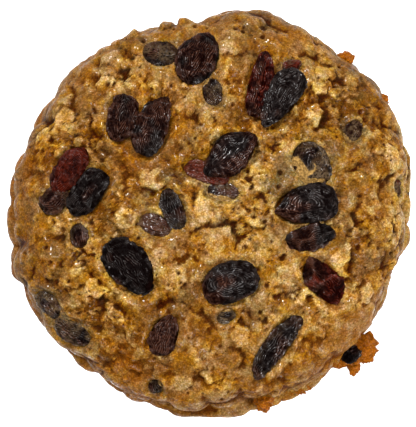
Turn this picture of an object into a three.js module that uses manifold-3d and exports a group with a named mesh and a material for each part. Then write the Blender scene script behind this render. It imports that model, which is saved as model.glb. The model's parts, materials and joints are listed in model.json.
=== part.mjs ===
// Oatmeal raisin cookie: one round, thick, soft-baked dough body with rolled oat flakes fused to its crust,
// and raisins that sit in pockets of that crust.
// Millimetres and degrees, +Z up. The origin is on the table, under the middle of the cookie's bounding box.
// Headings are counter-clockwise from +X, seen from above.
import * as THREE from "three";
import { mergeVertices } from "three/addons/utils/BufferGeometryUtils.js";
import Module from "manifold-3d";

const wasm = await Module();
wasm.setup();

// ---------------------------------------------------------------- driving dimensions

const COOKIE_RADIUS = 44.3; // mean radius of the outline, at the foot
const CROWN_HEIGHT = 15; // top of the crust above the table, before its lumps
const FOOT_HEIGHT = 2.4; // where the wall rises from the foot
const WALL_LEAN = 0.6; // how far the wall stands inside the foot
const SHOULDER_POWER = 3; // 2 is an ellipse, more is a squarer shoulder
const BASE_CHAMFER = 1; // the foot's rounding at the table
const SPREAD_TOP = 3.4; // height at which the foot's spreads have died out
const DOUGH_DETAIL = 13; // subdivisions of the icosahedron that the dough's skin is made from
const BASE_DENSITY = 0.1; // share of faces on the flat base, against the crust

const SWELL_RELIEF = 0.7; // broad, shallow swells of the crust
const CLUMP_SIZE = 6.4; // spacing of the big oat clumps
const CLUMP_RELIEF = 3.6;
const CRUMB_SIZE = 3.4; // spacing of the small clumps that ride on the big ones
const CRUMB_RELIEF = 1.3;
const LIP_RELIEF = 0.5; // dough pushed up round a raisin

const GAP = 0.3; // clearance between a raisin and what it lies in
const RAISIN_THICKNESS = 0.66; // of its width
const FURROW_DEPTH = 0.13; // of the raisin's radius

const CRUMB_RAGGEDNESS = 0.8; // spacing of a rim crumb's own lumps, in its radii

const FLAKE_COUNT = 92;
const FLAKE_FIELD_RADIUS = 40.5;
const FLAKE_LENGTH = [3.4, 6.2]; // shortest and longest
const FLAKE_WIDTH = 0.78; // of its length
const FLAKE_THICKNESS = 1;
const FLAKE_LIFT = 0.35; // middle of a flake above the clumps
const FLAKE_SIDES = 7;
const FLAKE_SEED = 20260;

// Where the outline swells out of the mean circle, or is dented into it.
const OUTLINE_SWELLS = [
  { at: 16, reach: 1.1, spread: 7 },
  { at: 28, reach: 1.9, spread: 26 },
  { at: 62, reach: 0.9, spread: 6 },
  { at: 76, reach: 1.9, spread: 9 },
  { at: 94, reach: -1.3, spread: 7 },
  { at: 112, reach: -1.8, spread: 24 },
  { at: 155, reach: -1.6, spread: 16 },
  { at: 181, reach: 0.5, spread: 5 },
  { at: 199, reach: 1.1, spread: 6 },
  { at: 246, reach: 0.6, spread: 5 },
  { at: 270, reach: 1.2, spread: 14 },
  { at: 296, reach: 0.7, spread: 9 },
  { at: 332, reach: -1.7, spread: 12 },
];

// Where the dough ran out at the foot, so that the wall above stands further in.
const FOOT_SPREADS = [
  { at: 3, reach: 1.8, spread: 13 },
  { at: 182, reach: 2, spread: 8 },
  { at: 278, reach: 1.8, spread: 20 },
];

// Raisins, in the order in which they lie: an earlier one lies over a later one.
// at: middle, seen from above. size: length and width. proud: how far the top stands out of the crust.
// level: height of the middle above the table, for one that lies on a crumb at the foot.
const BLACK = 0x1d1719;
const BROWN = 0x3a1e18;
const RED = 0x5a1f16;
const FILMED = 0x4b4238; // seen through a thin film of dough
const RAISINS = [
  { at: [-2.6, 32.4], size: [12.9, 9.7], heading: 65, proud: 3.6, bend: 0.3, skin: BLACK },
  { at: [-11.2, 33.9], size: [8.6, 7.3], heading: -20, proud: 1, bend: 0, skin: FILMED },
  { at: [0.2, 25.3], size: [6.8, 4.9], heading: 95, proud: 0.9, bend: 0, skin: FILMED },
  { at: [15.2, 23.5], size: [14.9, 8], heading: 57, proud: 3.9, bend: 0.4, skin: BLACK },
  { at: [10.8, 26.7], size: [15.4, 6.4], heading: 78, proud: 3.2, bend: -0.5, skin: RED },
  { at: [17.6, 31.1], size: [4.5, 3.4], heading: 20, proud: 1.3, bend: 0, skin: RED },
  { at: [-12.5, 17.3], size: [14.3, 8.1], heading: 68, proud: 3.8, bend: 0.4, skin: BROWN },
  { at: [-19.2, 19.2], size: [10.6, 7.5], heading: 74, proud: 3.2, bend: -0.6, skin: BROWN },
  { at: [-30.5, 7.6], size: [11.5, 7.1], heading: 52, proud: 3.6, bend: 0.3, skin: RED },
  { at: [-26.8, 3.1], size: [12.1, 7.9], heading: 55, proud: 3.2, bend: 0.2, skin: BLACK },
  { at: [-33.8, 1.5], size: [7.9, 5.6], heading: 40, proud: 2.4, bend: 0, skin: BROWN },
  { at: [-28.8, -6.3], size: [5.8, 4.4], heading: 100, proud: 1.1, bend: 0, skin: BLACK },
  { at: [-8.2, -0.4], size: [9.8, 5.4], heading: 113, proud: 1.4, bend: 0.3, skin: BLACK },
  { at: [-12.2, -4], size: [8.1, 5.2], heading: -28, proud: 1.1, bend: 0, skin: BROWN },
  { at: [4.3, 10.9], size: [13.1, 8.7], heading: 42, proud: 3.9, bend: 0.2, skin: BLACK },
  { at: [-1.1, 7.3], size: [10.4, 5.2], heading: -12, proud: 1.7, bend: 0.4, skin: RED },
  { at: [2.5, 3.3], size: [7.7, 4.6], heading: -4, proud: 0.9, bend: 0, skin: FILMED },
  { at: [20.5, -0.1], size: [14.6, 9.2], heading: 10, proud: 3.9, bend: 0.4, skin: BLACK },
  { at: [21.5, -6.6], size: [10.8, 6.3], heading: 14, proud: 2.3, bend: -0.3, skin: BROWN },
  { at: [22.2, 9.6], size: [11.5, 9.6], heading: 118, proud: 1.5, bend: 0, skin: FILMED },
  { at: [-18, -13.3], size: [13.8, 9.4], heading: -50, proud: 4, bend: 0.2, skin: BLACK },
  { at: [4.2, -16.8], size: [12.9, 9.5], heading: 20, proud: 4, bend: 0.2, skin: BLACK },
  { at: [24.1, -16.2], size: [11.5, 7.4], heading: -42, proud: 2.6, bend: 0, skin: RED },
  { at: [3.2, -23.8], size: [4.4, 3.1], heading: 20, proud: 0.9, bend: 0, skin: BLACK },
  { at: [-10.1, -27.9], size: [9.2, 6.5], heading: 68, proud: 2.3, bend: 0, skin: BROWN },
  { at: [14.5, -30.4], size: [16.8, 5.7], heading: 55, proud: 1.8, bend: 0.7, skin: BLACK },
  { at: [-35.7, -21.2], size: [7.8, 5.8], heading: -38, proud: 1, bend: 0, skin: FILMED },
  { at: [-30.3, -27.3], size: [10.4, 6.1], heading: -12, proud: 1.2, bend: 0, skin: BLACK },
  { at: [-12.1, -39.3], size: [4.2, 3.7], heading: 100, proud: 0.9, bend: 0, skin: BLACK },
  { at: [31.8, -31.9], size: [5.2, 4.4], heading: 50, level: 2.6, bend: 0, skin: BLACK },
  { at: [31.2, 16.9], size: [6.2, 4.5], heading: 60, proud: 0.9, bend: 0, skin: BROWN },
  { at: [41.5, 4.8], size: [4.1, 3.1], heading: 96, proud: 0.8, bend: 0, skin: RED },
];
const LARGE_RAISIN = 8.5; // a raisin at least this long is made with more faces

// Oat flakes that lie open on the crust, each with its middle, length and heading.
const OPEN_FLAKES = [
  { at: [24.4, 29.5], length: 4.5, heading: 20 },
  { at: [28.1, -10.5], length: 5.8, heading: 70 },
  { at: [39.6, 11.1], length: 5.9, heading: 100 },
  { at: [0.7, -8.3], length: 5.2, heading: 60 },
  { at: [16.6, -14.7], length: 6.3, heading: 10 },
  { at: [-1.9, -0.8], length: 5.8, heading: 80 },
  { at: [-12.5, 6.1], length: 6.8, heading: 20 },
  { at: [-18.5, -2.3], length: 5.6, heading: 160 },
  { at: [4.3, 35.2], length: 5.3, heading: 0 },
  { at: [-24.8, -17.4], length: 5.8, heading: 40 },
  { at: [-7.9, -15.7], length: 6.1, heading: 30 },
  { at: [22.3, 19.6], length: 4.5, heading: 75 },
  { at: [17.2, 13.2], length: 5.4, heading: 130 },
  { at: [33.6, -18.6], length: 4.8, heading: 75 },
  { at: [-36.5, 14.9], length: 5.5, heading: 30 },
  { at: [6.4, -28], length: 5.4, heading: 110 },
];

// Crisp crumbs of dough that squeezed out at the foot: middle, height of the middle, and radii along X, Y, Z.
const RIM_CRUMBS = [
  { at: [33.9, -30.7], height: 1.9, radii: [4.1, 4, 1.9] },
  { at: [28.4, -33.4], height: 1.5, radii: [3.4, 2.2, 1.5] },
  { at: [32.6, -35], height: 1.2, radii: [1.6, 2.2, 1.2] },
  { at: [12.1, -42.4], height: 4.2, radii: [2.3, 2.9, 2.6] },
  { at: [30.6, 34.3], height: 3, radii: [2.5, 2, 2] },
  { at: [38.8, 24.8], height: 3.4, radii: [1.8, 1.9, 1.5] },
  { at: [18.7, -38.7], height: 1.6, radii: [4.8, 2.8, 1.6] },
];

// ---------------------------------------------------------------- repeatable noise

/** A generator of numbers from 0 to 1 that gives the same row of numbers for the same seed. */
function seededRandom(seed) {
  let state = seed >>> 0;
  return () => {
    state = (Math.imul(state, 1664525) + 1013904223) >>> 0;
    return state / 2 ** 32;
  };
}

/** A fixed number from 0 to 1 for each cell of space and channel. */
function cellValue(x, y, z, channel) {
  const wave = Math.sin(x * 127.1 + y * 311.7 + z * 74.7 + channel * 19.19) * 43758.5453;
  return wave - Math.floor(wave);
}

/** Rounded clumps packed against each other: 1 on top of a clump, 0 in the creases between them. */
function clumpAt(p, size) {
  const q = p.clone().divideScalar(size);
  const cell = q.clone().floor();
  let nearest = 1;
  for (let i = -1; i <= 1; i++) {
    for (let j = -1; j <= 1; j++) {
      for (let k = -1; k <= 1; k++) {
        const [x, y, z] = [cell.x + i, cell.y + j, cell.z + k];
        const dx = x + cellValue(x, y, z, 0) - q.x;
        const dy = y + cellValue(x, y, z, 1) - q.y;
        const dz = z + cellValue(x, y, z, 2) - q.z;
        nearest = Math.min(nearest, dx * dx + dy * dy + dz * dz);
      }
    }
  }
  return Math.sqrt(1 - nearest);
}

/** Broad swells from -1 to 1, as crossed waves of about 25 mm. */
function swellAt(p) {
  const long = Math.sin(p.x / 8.3 + 1.1) * Math.cos(p.y / 7.4 - 0.6);
  const short = Math.sin((p.x + p.y) / 5.1 + 2) * Math.cos((p.x - 1.4 * p.y) / 6.7);
  return 0.6 * long + 0.4 * short;
}

// ---------------------------------------------------------------- the dough's form

const radians = THREE.MathUtils.degToRad;
const smoothstep = THREE.MathUtils.smoothstep;

/** The sum of bell-shaped swells in a direction, in radians. */
function swellSum(swells, angle) {
  const degrees = THREE.MathUtils.radToDeg(angle);
  return swells.reduce((sum, swell) => {
    const off = THREE.MathUtils.euclideanModulo(degrees - swell.at + 180, 360) - 180;
    return sum + swell.reach * Math.exp(-((off / swell.spread) ** 2));
  }, 0);
}

/** The foot's radius in a direction: the mean circle with its swells. */
function outlineRadius(angle) {
  return COOKIE_RADIUS + swellSum(OUTLINE_SWELLS, angle);
}

/** The radius of the wall above the foot in a direction. */
function wallRadiusAt(angle) {
  const upright = ((COOKIE_RADIUS - WALL_LEAN) * outlineRadius(angle)) / COOKIE_RADIUS;
  return upright - swellSum(FOOT_SPREADS, angle);
}

/** The mean section, from the middle of the top over the shoulder and the foot to the middle of the base. */
function sectionLine() {
  const steps = 48;
  const wallRadius = COOKIE_RADIUS - WALL_LEAN;
  const rise = CROWN_HEIGHT - FOOT_HEIGHT;
  const line = [];
  for (let i = 0; i <= steps; i++) {
    const angle = ((i / steps) * Math.PI) / 2;
    const out = Math.sin(angle) ** (2 / SHOULDER_POWER);
    const up = Math.cos(angle) ** (2 / SHOULDER_POWER);
    line.push(new THREE.Vector2(wallRadius * out, FOOT_HEIGHT + rise * up));
  }
  const foot = new THREE.QuadraticBezierCurve(
    new THREE.Vector2(COOKIE_RADIUS - 0.3 * WALL_LEAN, FOOT_HEIGHT - 0.6),
    new THREE.Vector2(COOKIE_RADIUS + 0.8, 0.4),
    new THREE.Vector2(COOKIE_RADIUS - BASE_CHAMFER, 0),
  );
  line.push(...foot.getPoints(5));
  const baseSteps = 12;
  for (let i = baseSteps - 1; i >= 0; i--) {
    line.push(new THREE.Vector2(((COOKIE_RADIUS - BASE_CHAMFER) * i) / baseSteps, 0));
  }
  return line;
}

/** The section's segments, each with the share of the skin's faces that lies before its end. */
function sectionTable() {
  const line = sectionLine();
  let total = 0;
  const segments = line.slice(1).map((end, i) => {
    const start = line[i];
    const density = end.y === 0 && start.y === 0 ? BASE_DENSITY : 1;
    const from = total;
    total += ((start.x + end.x) / 2) * start.distanceTo(end) * density;
    return { start, end, from, to: total };
  });
  return segments.map((s) => ({ ...s, from: s.from / total, to: s.to / total }));
}
const SECTION = sectionTable();

/** The point and outward direction on the section where a share of the skin's faces lies behind. */
function sectionAt(share) {
  const segment = SECTION.find((s) => share <= s.to) ?? SECTION.at(-1);
  const part = (share - segment.from) / (segment.to - segment.from);
  const point = segment.start.clone().lerp(segment.end, part);
  const run = segment.end.clone().sub(segment.start).normalize();
  return { point, out: new THREE.Vector2(-run.y, run.x) };
}

/** The smooth crust above a place, before its relief: the point and the outward direction. */
function crustAt(x, y) {
  const angle = Math.atan2(y, x);
  const wallRadius = wallRadiusAt(angle);
  const share = Math.min(Math.hypot(x, y) / wallRadius, 0.985);
  const fall = 1 - share ** SHOULDER_POWER;
  const rise = CROWN_HEIGHT - FOOT_HEIGHT;
  const slope = ((rise / wallRadius) * share ** (SHOULDER_POWER - 1)) / fall ** (1 - 1 / SHOULDER_POWER);
  const point = new THREE.Vector3(x, y, FOOT_HEIGHT + rise * fall ** (1 / SHOULDER_POWER));
  const out = new THREE.Vector3(slope * Math.cos(angle), slope * Math.sin(angle), 1).normalize();
  return { point, out };
}

/** How far a place lies from a raisin's middle, counted in the raisin's own half length and half width. */
function raisinDistance(raisin, x, y) {
  const [dx, dy] = [x - raisin.at[0], y - raisin.at[1]];
  const [c, s] = [Math.cos(radians(raisin.heading)), Math.sin(radians(raisin.heading))];
  const along = (dx * c + dy * s) / (raisin.size[0] / 2);
  const across = (dy * c - dx * s) / (raisin.size[1] / 2);
  return Math.hypot(along, across);
}

/** The relief at a point of the smooth crust: clumps on open dough, calm dough with a lip at the raisins. */
function reliefAt(p) {
  let open = 1;
  let lip = 0;
  for (const raisin of RAISINS) {
    const distance = raisinDistance(raisin, p.x, p.y);
    open *= smoothstep(distance, 0.8, 1.5);
    lip = Math.max(lip, Math.exp(-(((distance - 1.3) / 0.25) ** 2)));
  }
  const clumps = CLUMP_RELIEF * (clumpAt(p, CLUMP_SIZE) - 0.7);
  const crumbs = CRUMB_RELIEF * (clumpAt(p, CRUMB_SIZE) - 0.7);
  return SWELL_RELIEF * swellAt(p) + open * (clumps + crumbs) + lip * LIP_RELIEF;
}

// ---------------------------------------------------------------- solids

/** A manifold-3d solid of a closed geometry. */
function solidOf(geometry) {
  const bare = geometry.clone();
  bare.deleteAttribute("normal");
  bare.deleteAttribute("uv");
  const merged = mergeVertices(bare, 1e-4);
  return new wasm.Manifold(
    new wasm.Mesh({
      numProp: 3,
      vertProperties: merged.attributes.position.array,
      triVerts: new Uint32Array(merged.index.array),
    }),
  );
}

/** The geometry of a solid's largest piece. */
function geometryOf(solid) {
  const pieces = solid.decompose().sort((a, b) => b.volume() - a.volume());
  const mesh = pieces[0].getMesh();
  const geometry = new THREE.BufferGeometry();
  geometry.setAttribute("position", new THREE.BufferAttribute(mesh.vertProperties, 3));
  geometry.setIndex(new THREE.BufferAttribute(mesh.triVerts, 1));
  geometry.computeVertexNormals();
  return geometry;
}

/** The dough's skin: an even net of triangles, laid over the section by area and raised by the relief. */
function doughSkin() {
  const skin = new THREE.IcosahedronGeometry(1, DOUGH_DETAIL);
  const position = skin.getAttribute("position");
  const p = new THREE.Vector3();
  for (let i = 0; i < position.count; i++) {
    p.fromBufferAttribute(position, i);
    const angle = Math.atan2(p.y, p.x);
    const { point, out } = sectionAt((1 - p.z) / 2);
    const part = point.x / COOKIE_RADIUS;
    const setBack = swellSum(FOOT_SPREADS, angle) * smoothstep(point.y, BASE_CHAMFER, SPREAD_TOP);
    const radius = part * (outlineRadius(angle) - setBack);
    p.set(radius * Math.cos(angle), radius * Math.sin(angle), point.y);
    const relief = point.y > 0 ? reliefAt(p) * smoothstep(point.y, 0, BASE_CHAMFER) : 0;
    p.x += relief * out.x * Math.cos(angle);
    p.y += relief * out.x * Math.sin(angle);
    p.z = Math.max(0, p.z + relief * out.y);
    position.setXYZ(i, p.x, p.y, p.z);
  }
  return skin;
}

/** The placing that lays a piece's X along a heading, on the crust and square to it, raised by lift. */
function placedOnCrust([x, y], heading, lift, tilt = new THREE.Euler()) {
  const { point, out } = crustAt(x, y);
  point.addScaledVector(out, SWELL_RELIEF * swellAt(point) + lift);
  const along = new THREE.Vector3(Math.cos(radians(heading)), Math.sin(radians(heading)), 0);
  along.addScaledVector(out, -along.dot(out)).normalize();
  const across = new THREE.Vector3().crossVectors(out, along);
  const turn = new THREE.Matrix4().makeBasis(along, across, out);
  turn.multiply(new THREE.Matrix4().makeRotationFromEuler(tilt));
  return turn.setPosition(point);
}

/** A raisin lying along X: a pinched, furrowed and bent ellipsoid, flatter below, grown by a clearance. */
function raisinShape(raisin, clearance = 0) {
  const [length, width] = raisin.size;
  const [slices, stacks] = length >= LARGE_RAISIN ? [10, 6] : [8, 4];
  const shape = new THREE.SphereGeometry(1, slices, stacks);
  const position = shape.getAttribute("position");
  const p = new THREE.Vector3();
  for (let i = 0; i < position.count; i++) {
    p.fromBufferAttribute(position, i);
    const along = p.y;
    const around = Math.atan2(p.z, p.x);
    const furrow = 1 - FURROW_DEPTH * (0.5 - 0.5 * Math.cos((around * slices) / 2 + along));
    const ring = Math.hypot(p.x, p.z) * furrow * (1 - 0.12 * along);
    const across = ring * Math.cos(around) + 0.12 * raisin.bend * (1 - 3 * along * along);
    const up = ring * Math.sin(around) * (p.z < 0 ? 0.85 : 1);
    position.setXYZ(i, along, across, up);
  }
  // Along, across and up swap the sphere's handedness, so each triangle is turned round.
  const index = shape.getIndex();
  for (let i = 0; i < index.count; i += 3) {
    const first = index.getX(i);
    index.setX(i, index.getX(i + 1));
    index.setX(i + 1, first);
  }
  const thickness = width * RAISIN_THICKNESS;
  return shape.scale(length / 2 + clearance, width / 2 + clearance, thickness / 2 + clearance);
}

/** Where a raisin lies: its top stands proud of the crust, or its middle is at a level of its own. */
function raisinPlace(raisin) {
  if (raisin.level) {
    return new THREE.Matrix4().makeRotationZ(radians(raisin.heading)).setPosition(...raisin.at, raisin.level);
  }
  const thickness = raisin.size[1] * RAISIN_THICKNESS;
  return placedOnCrust(raisin.at, raisin.heading, raisin.proud - thickness / 2);
}

/** An oat flake lying along X: a thin, low-sided oval plate. */
function flakeShape(length) {
  const plate = new THREE.CylinderGeometry(0.9, 1, FLAKE_THICKNESS, FLAKE_SIDES);
  plate.rotateX(Math.PI / 2);
  return plate.scale(length / 2, (length * FLAKE_WIDTH) / 2, 1);
}

/** The scattered flakes, on a sunflower spiral that fills the crust evenly, clear of the raisins. */
function scatteredFlakes() {
  const random = seededRandom(FLAKE_SEED);
  const goldenAngle = Math.PI * (3 - Math.sqrt(5));
  const flakes = [];
  for (let i = 0; i < FLAKE_COUNT; i++) {
    const radius = FLAKE_FIELD_RADIUS * Math.sqrt((i + random()) / FLAKE_COUNT);
    const angle = i * goldenAngle + 0.3 * random();
    const length = THREE.MathUtils.lerp(...FLAKE_LENGTH, random());
    const heading = 360 * random();
    const tilt = [0.5 * (random() - 0.5), 0.5 * (random() - 0.5)];
    const at = [radius * Math.cos(angle), radius * Math.sin(angle)];
    flakes.push({ at, length, heading, tilt });
  }
  return flakes;
}

/** True where a flake would touch a raisin or its pocket. */
function touchesRaisin({ at, length }) {
  return RAISINS.some((raisin) => {
    const reach = 1 + (length / 2 + 2 * GAP) / (raisin.size[1] / 2);
    return raisinDistance(raisin, ...at) < reach;
  });
}

/** All flakes of the crust as solids, each half sunk in the clumps where it lies. */
function flakeSolids() {
  const open = OPEN_FLAKES.map((flake) => ({ ...flake, tilt: [0, 0] }));
  return [...open, ...scatteredFlakes()]
    .filter((flake) => !touchesRaisin(flake))
    .map((flake) => {
      const { point } = crustAt(...flake.at);
      const lift = reliefAt(point) - SWELL_RELIEF * swellAt(point) + FLAKE_LIFT;
      const tilt = new THREE.Euler(flake.tilt[0], flake.tilt[1], 0);
      const place = placedOnCrust(flake.at, flake.heading, lift, tilt);
      return solidOf(flakeShape(flake.length).applyMatrix4(place));
    });
}

/** The crisp crumbs at the foot, as squat, ragged lumps that stay above the table. */
function crumbSolids() {
  return RIM_CRUMBS.map(({ at, height, radii }) => {
    const lump = new THREE.IcosahedronGeometry(1, 1);
    const position = lump.getAttribute("position");
    const p = new THREE.Vector3();
    for (let i = 0; i < position.count; i++) {
      p.fromBufferAttribute(position, i);
      const ragged = clumpAt(p.clone().addScalar(at[0]), CRUMB_RAGGEDNESS);
      position.setXYZ(i, ...p.multiplyScalar(0.6 + 0.4 * ragged).toArray());
    }
    lump.scale(...radii).translate(...at, Math.max(height, radii[2]));
    return solidOf(lump);
  });
}

// ---------------------------------------------------------------- the cookie

const cookie = new THREE.Group();
cookie.name = "cookie";

/** The dough with its flakes and rim crumbs fused on and a pocket for each raisin. */
function addDough() {
  let solid = solidOf(doughSkin());
  for (const piece of [...flakeSolids(), ...crumbSolids()]) {
    solid = solid.add(piece);
  }
  for (const raisin of RAISINS) {
    const pocket = raisinShape(raisin, GAP).applyMatrix4(raisinPlace(raisin));
    solid = solid.subtract(solidOf(pocket));
  }
  const crust = new THREE.MeshStandardMaterial({ color: 0xa8743a, roughness: 0.6, metalness: 0 });
  const dough = new THREE.Mesh(geometryOf(solid), crust);
  dough.name = "dough";
  cookie.add(dough);
}

/** The raisins, each cut clear of those that lie over it, and placed by its own position and rotation. */
function addRaisins() {
  const above = [];
  RAISINS.forEach((raisin, i) => {
    const place = raisinPlace(raisin);
    let solid = solidOf(raisinShape(raisin).applyMatrix4(place));
    for (const over of above) {
      solid = solid.subtract(over);
    }
    above.push(solidOf(raisinShape(raisin, GAP).applyMatrix4(place)));
    const geometry = geometryOf(solid).applyMatrix4(place.clone().invert());
    const skin = new THREE.MeshStandardMaterial({ color: raisin.skin, roughness: 0.35, metalness: 0 });
    const mesh = new THREE.Mesh(geometry, skin);
    place.decompose(mesh.position, mesh.quaternion, mesh.scale);
    mesh.name = `raisin_${String(i + 1).padStart(2, "0")}`;
    cookie.add(mesh);
  });
}

addDough();
addRaisins();

export default cookie;
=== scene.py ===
import json
from functools import partial, reduce

import bpy
import numpy as np
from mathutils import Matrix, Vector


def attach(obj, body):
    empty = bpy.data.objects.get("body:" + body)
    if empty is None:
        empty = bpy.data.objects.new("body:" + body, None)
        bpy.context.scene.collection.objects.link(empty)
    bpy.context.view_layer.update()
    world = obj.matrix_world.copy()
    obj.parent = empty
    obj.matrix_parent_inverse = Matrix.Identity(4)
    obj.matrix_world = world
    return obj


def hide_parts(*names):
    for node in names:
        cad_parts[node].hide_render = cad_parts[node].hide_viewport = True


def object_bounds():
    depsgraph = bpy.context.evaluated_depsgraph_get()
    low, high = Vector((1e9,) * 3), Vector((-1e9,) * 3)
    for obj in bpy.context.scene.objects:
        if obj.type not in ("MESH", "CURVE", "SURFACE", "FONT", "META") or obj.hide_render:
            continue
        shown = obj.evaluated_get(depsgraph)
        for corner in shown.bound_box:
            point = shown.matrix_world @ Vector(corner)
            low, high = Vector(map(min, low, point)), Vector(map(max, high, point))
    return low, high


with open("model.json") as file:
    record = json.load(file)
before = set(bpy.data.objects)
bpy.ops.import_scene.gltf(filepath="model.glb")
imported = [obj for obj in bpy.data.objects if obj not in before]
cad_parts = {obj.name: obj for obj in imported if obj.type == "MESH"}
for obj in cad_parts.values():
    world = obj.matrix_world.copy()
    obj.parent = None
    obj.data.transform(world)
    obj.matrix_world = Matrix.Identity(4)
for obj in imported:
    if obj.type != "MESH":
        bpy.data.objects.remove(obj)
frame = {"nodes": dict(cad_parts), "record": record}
CAD_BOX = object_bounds()

bl_info = {
    "name": "Oatmeal Raisin Cookie",
    "version": (1, 0, 0),
    "blender": (4, 5, 0),
    "location": "3D View > Sidebar > Cookie",
    "description": "Makes a soft-baked oatmeal raisin cookie from its crust, flakes, crumbs and raisins",
    "category": "Add Mesh",
}

# Lengths are millimetres and angles degrees until a mesh is made, +Z is up, and headings are
# counter-clockwise from +X, seen from above.
MM = 0.001

# ---------------------------------------------------------------- the cookie's form, as in its solids

COOKIE_RADIUS = 44.3  # mean radius of the outline, at the foot
CROWN_HEIGHT = 15  # top of the crust above the table, before its lumps
FOOT_HEIGHT = 2.4  # where the wall rises from the foot
WALL_LEAN = 0.6  # how far the wall stands inside the foot
SHOULDER_POWER = 3  # 2 is an ellipse, more is a squarer shoulder
BASE_CHAMFER = 1  # the foot's rounding at the table
SPREAD_TOP = 3.4  # height at which the foot's spreads have died out

SWELL_RELIEF = 0.7
CLUMP_SIZE = 6.4
CLUMP_RELIEF = 3.6
CRUMB_SIZE = 3.4
CRUMB_RELIEF = 1.3
LIP_RELIEF = 0.5
CLUMP_MEAN = 0.7  # of clump_at over an area

FLAKE_COUNT = 92
FLAKE_FIELD_RADIUS = 40.5
FLAKE_LENGTH = (3.4, 6.2)
FLAKE_WIDTH = 0.78
FLAKE_THICKNESS = 1
FLAKE_LIFT = 0.35  # of the open ones above the crust around
SCATTERED_LIFT = 0.2
HIDDEN_REACH = 43  # radius of the field of flakes under the film
HIDDEN_SHARE = 0.3  # how strongly they show
PORE_REACH = 42
FLAKE_SEED = 20260
WRINKLE_SPACING = 0.4  # from one raisin wrinkle to the next
LARGE_RAISIN = 4.2  # half length above which a raisin gets the full number of points
WALL_SHARE = 0.6  # how densely the wall is gridded, against the top
GAP = 0.3  # clearance between a raisin's solid and what it lies in
POCKET_GAP = 0.25  # how far the crust passes under a raisin
SKIN_INSET = 0.1  # how far a raisin's mean skin lies inside its solid
TOAST_PLACE = (31, -29)  # middle of the crisp orange corner
TOAST_REACH = 10
CRUMB_GRID = (48, 72)  # rings and points in a ring of each rim crumb
BASE_STEPS = 3  # from the border of the base to its middle
BOX_EASING = 0.8  # how near the solids' box the skins are eased inwards

# Direction, reach and spread of each swell of the outline.
OUTLINE_SWELLS = (
    (16, 1.1, 7), (28, 1.9, 26), (62, 0.9, 6), (76, 1.9, 9), (94, -1.3, 7), (112, -1.8, 24),
    (155, -1.6, 16), (181, 0.5, 5), (199, 1.1, 6), (246, 0.6, 5), (270, 1.2, 14), (296, 0.7, 9),
    (332, -1.7, 12),
)

# The same for the places where the dough ran out at the foot, so that the wall above stands further in.
FOOT_SPREADS = ((3, 1.8, 13), (182, 2, 8), (278, 1.8, 20))

# Middle, length and heading of each oat flake that lies open on the crust.
OPEN_FLAKES = (
    ((24.4, 29.5), 4.5, 20), ((28.1, -10.5), 5.8, 70), ((39.6, 11.1), 5.9, 100), ((0.7, -8.3), 5.2, 60),
    ((16.6, -14.7), 6.3, 10), ((-1.9, -0.8), 5.8, 80), ((-12.5, 6.1), 6.8, 20), ((-18.5, -2.3), 5.6, 160),
    ((4.3, 35.2), 5.3, 0), ((-24.8, -17.4), 5.8, 40), ((-7.9, -15.7), 6.1, 30), ((22.3, 19.6), 4.5, 75),
    ((17.2, 13.2), 5.4, 130), ((33.6, -18.6), 4.8, 75), ((-36.5, 14.9), 5.5, 30), ((6.4, -28), 5.4, 110),
)

# Middle, height of the middle and radii of each crisp crumb at the foot.
RIM_CRUMBS = (
    ((33.9, -30.7), 1.9, (4.1, 4, 1.9)),
    ((28.4, -33.4), 1.5, (3.4, 2.2, 1.5)),
    ((32.6, -35), 1.2, (1.6, 2.2, 1.2)),
    ((12.1, -42.4), 4.2, (2.3, 2.9, 2.6)),
    ((30.6, 34.3), 3, (2.5, 2, 2)),
    ((38.8, 24.8), 3.4, (1.8, 1.9, 1.5)),
    ((18.7, -38.7), 1.6, (4.8, 2.8, 1.6)),
)

# Middle, radius and strength of the smooth, brown places where a film of batter lies over the oats.
FILM_PLACES = (
    ((6, 40), 9, 0.8), ((-6, 42), 7, 0.5), ((17, 38), 7, 0.9), ((26, 33), 6, 0.7), ((36, 24), 6, 0.4),
    ((38, 3), 6, 0.6), ((31, -29), 9, 0.8), ((-13, 12), 6, 0.6), ((-3, 17), 6, 0.7), ((5, -30), 8, 0.6),
    ((-41, -2), 6, 0.7), ((-37, -14), 7, 0.6), ((-2, -10), 5, 0.3), ((36, -12), 6, 0.5),
    ((-26, 33), 6, 0.8), ((-10, 36), 9, 0.9), ((9, 32), 6, 0.6), ((-32, -30), 6, 0.5),
)

# The same for the olive-grey dough beside sunken raisins.
STAIN_PLACES = (
    ((-11.5, 3), 4.5, 0.8), ((-8, 7), 3.5, 0.6), ((15, 6), 4.5, 0.9), ((18, 11), 3.5, 0.5),
    ((2.5, 1.5), 3.5, 0.7), ((-31, -9), 3, 0.5), ((-36, -25), 4, 0.6), ((7, -20), 3, 0.5),
)

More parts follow.
